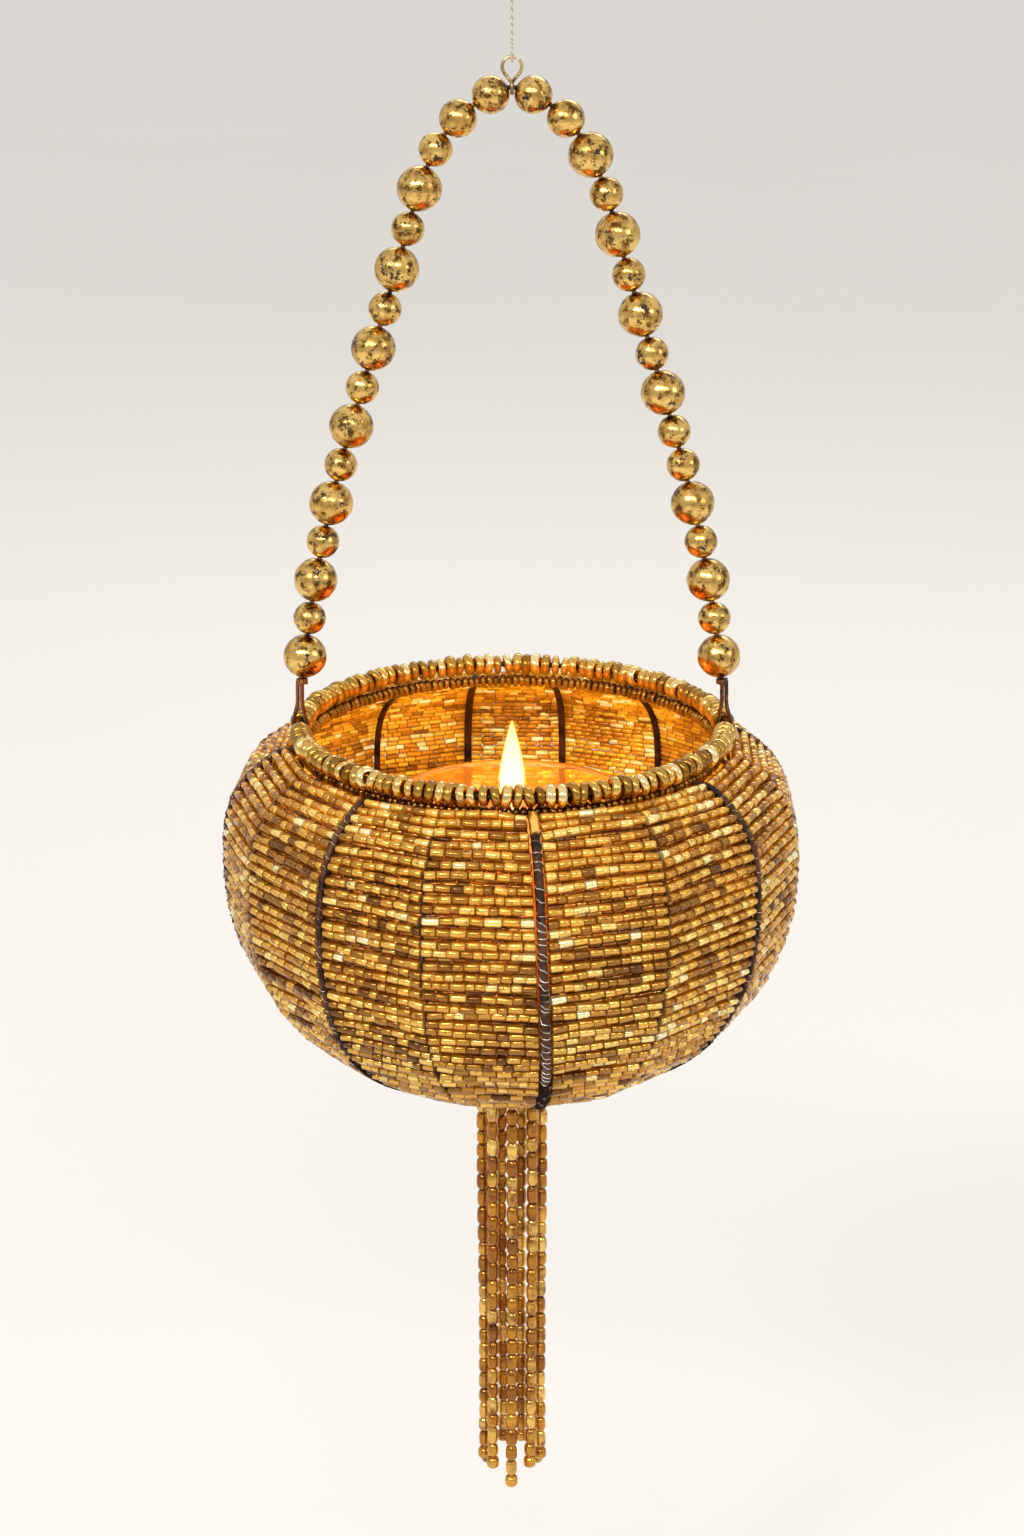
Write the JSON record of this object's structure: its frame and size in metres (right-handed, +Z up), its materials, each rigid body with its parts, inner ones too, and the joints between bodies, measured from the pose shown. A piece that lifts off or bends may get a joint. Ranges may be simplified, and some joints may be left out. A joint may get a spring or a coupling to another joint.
{
  "type": "hanging tealight holder",
  "caption": "Round beaded wire bowl with a candle glass inside, hung from a thread by an arched beaded wire handle, with a tassel of bead strands below.",
  "frame": {"origin": "where the piece hangs, on the inside of the thread's upper loop at its top", "axes": "+Z up along the thread, X along the plane of the handle, the side seen in the picture faces -Y"},
  "size_m": [0.1278, 0.128, 0.3744],
  "materials": {
    "thread": "fine twisted thread, pale beige, matte",
    "pale_brass_wire": "pale gold wire, polished",
    "copper_wire": "dark copper wire, worn sheen",
    "gold_leaf_bead": "hollow lacquered beads in antique gold leaf with dark flecks",
    "dark_iron": "dark brown iron wire, partly bound with silver binding wire",
    "rondelle_gold": "bright gold rondelle beads, glossy",
    "gold_lined_amber_glass": "short glass tube beads with a gold lining, glossy, in rows",
    "brass_plate": "brushed brass sheet",
    "clear_glass": "clear pressed glass",
    "wax": "orange wax, softly glossy",
    "wick": "charred cotton wick on a small tin tab",
    "amber_glass": "oval pressed glass beads, translucent amber, glossy"
  },
  "bodies": {
    "thread_top": {"thread_loop": "thread"},
    "thread": {"hanging_thread": "thread"},
    "eye": {"hanging_eye": "pale_brass_wire"},
    "handle": {"handle_wire": "copper_wire", "handle_bead_left_1": "gold_leaf_bead", "handle_bead_left_2": "gold_leaf_bead", "handle_bead_left_3": "gold_leaf_bead", "handle_bead_left_4": "gold_leaf_bead", "handle_bead_left_5": "gold_leaf_bead", "handle_bead_left_6": "gold_leaf_bead", "handle_bead_left_7": "gold_leaf_bead", "handle_bead_left_8": "gold_leaf_bead", "handle_bead_left_9": "gold_leaf_bead", "handle_bead_left_10": "gold_leaf_bead", "handle_bead_left_11": "gold_leaf_bead", "handle_bead_left_12": "gold_leaf_bead", "handle_bead_left_13": "gold_leaf_bead", "handle_bead_left_14": "gold_leaf_bead", "handle_bead_left_15": "gold_leaf_bead", "handle_bead_left_16": "gold_leaf_bead", "handle_bead_right_1": "gold_leaf_bead", "handle_bead_right_2": "gold_leaf_bead", "handle_bead_right_3": "gold_leaf_bead", "handle_bead_right_4": "gold_leaf_bead", "handle_bead_right_5": "gold_leaf_bead", "handle_bead_right_6": "gold_leaf_bead", "handle_bead_right_7": "gold_leaf_bead", "handle_bead_right_8": "gold_leaf_bead", "handle_bead_right_9": "gold_leaf_bead", "handle_bead_right_10": "gold_leaf_bead", "handle_bead_right_11": "gold_leaf_bead", "handle_bead_right_12": "gold_leaf_bead", "handle_bead_right_13": "gold_leaf_bead", "handle_bead_right_14": "gold_leaf_bead", "handle_bead_right_15": "gold_leaf_bead", "handle_bead_right_16": "gold_leaf_bead"},
    "bowl": {"wire_frame": "dark_iron", "rim_beads_front": "rondelle_gold", "rim_beads_back": "rondelle_gold", "bead_panel_1": "gold_lined_amber_glass", "bead_panel_2": "gold_lined_amber_glass", "bead_panel_3": "gold_lined_amber_glass", "bead_panel_4": "gold_lined_amber_glass", "bead_panel_5": "gold_lined_amber_glass", "bead_panel_6": "gold_lined_amber_glass", "bead_panel_7": "gold_lined_amber_glass", "bead_panel_8": "gold_lined_amber_glass", "base_plate": "brass_plate"},
    "candle_glass": {"votive_glass": "clear_glass", "candle_wax": "wax", "candle_wick": "wick"},
    "strand_1": {"tassel_strand_1": "amber_glass"},
    "strand_2": {"tassel_strand_2": "amber_glass"},
    "strand_3": {"tassel_strand_3": "amber_glass"},
    "strand_4": {"tassel_strand_4": "amber_glass"},
    "strand_5": {"tassel_strand_5": "amber_glass"},
    "strand_6": {"tassel_strand_6": "amber_glass"},
    "strand_7": {"tassel_strand_7": "amber_glass"},
    "strand_8": {"tassel_strand_8": "amber_glass"},
    "strand_9": {"tassel_strand_9": "amber_glass"}
  },
  "joints": [
    {"name": "thread_twist", "type": "hinge", "parent": "thread_top", "child": "thread", "pos_m": [0, 0, -0.00695], "axis": [0, 0, 1], "continuous": true},
    {"name": "eye_swing", "type": "hinge", "parent": "thread", "child": "eye", "pos_m": [0, 0, -0.04295], "axis": [0, 1, 0], "range_deg": [-30, 30]},
    {"name": "handle_swing", "type": "hinge", "parent": "eye", "child": "handle", "pos_m": [0, 0, -0.04818], "axis": [1, 0, 0], "range_deg": [-35, 35]},
    {"name": "bowl_tilt", "type": "hinge", "parent": "handle", "child": "bowl", "pos_m": [0, 0, -0.18578], "axis": [1, 0, 0], "range_deg": [-20, 20]},
    {"name": "glass_lift", "type": "slide", "parent": "bowl", "child": "candle_glass", "axis": [0, 0, 1], "range_m": [0, 0.08]},
    {"name": "strand_1_swing", "type": "hinge", "parent": "bowl", "child": "strand_1", "pos_m": [0, -0.0069, -0.26728], "axis": [-1, 0, 0], "range_deg": [-1, 30]},
    {"name": "strand_2_swing", "type": "hinge", "parent": "bowl", "child": "strand_2", "pos_m": [0.00443, -0.00529, -0.26728], "axis": [-0.766, -0.6428, 0], "range_deg": [-1, 30]},
    {"name": "strand_3_swing", "type": "hinge", "parent": "bowl", "child": "strand_3", "pos_m": [0.00679, -0.0012, -0.26728], "axis": [-0.1736, -0.9848, 0], "range_deg": [-1, 30]},
    {"name": "strand_4_swing", "type": "hinge", "parent": "bowl", "child": "strand_4", "pos_m": [0.00598, 0.00345, -0.26728], "axis": [0.5, -0.866, 0], "range_deg": [-1, 30]},
    {"name": "strand_5_swing", "type": "hinge", "parent": "bowl", "child": "strand_5", "pos_m": [0.00236, 0.00648, -0.26728], "axis": [0.9397, -0.342, 0], "range_deg": [-1, 30]},
    {"name": "strand_6_swing", "type": "hinge", "parent": "bowl", "child": "strand_6", "pos_m": [-0.00236, 0.00648, -0.26728], "axis": [0.9397, 0.342, 0], "range_deg": [-1, 30]},
    {"name": "strand_7_swing", "type": "hinge", "parent": "bowl", "child": "strand_7", "pos_m": [-0.00598, 0.00345, -0.26728], "axis": [0.5, 0.866, 0], "range_deg": [-1, 30]},
    {"name": "strand_8_swing", "type": "hinge", "parent": "bowl", "child": "strand_8", "pos_m": [-0.00679, -0.0012, -0.26728], "axis": [-0.1736, 0.9848, 0], "range_deg": [-1, 30]},
    {"name": "strand_9_swing", "type": "hinge", "parent": "bowl", "child": "strand_9", "pos_m": [-0.00443, -0.00529, -0.26728], "axis": [-0.766, 0.6428, 0], "range_deg": [-1, 30]}
  ]
}
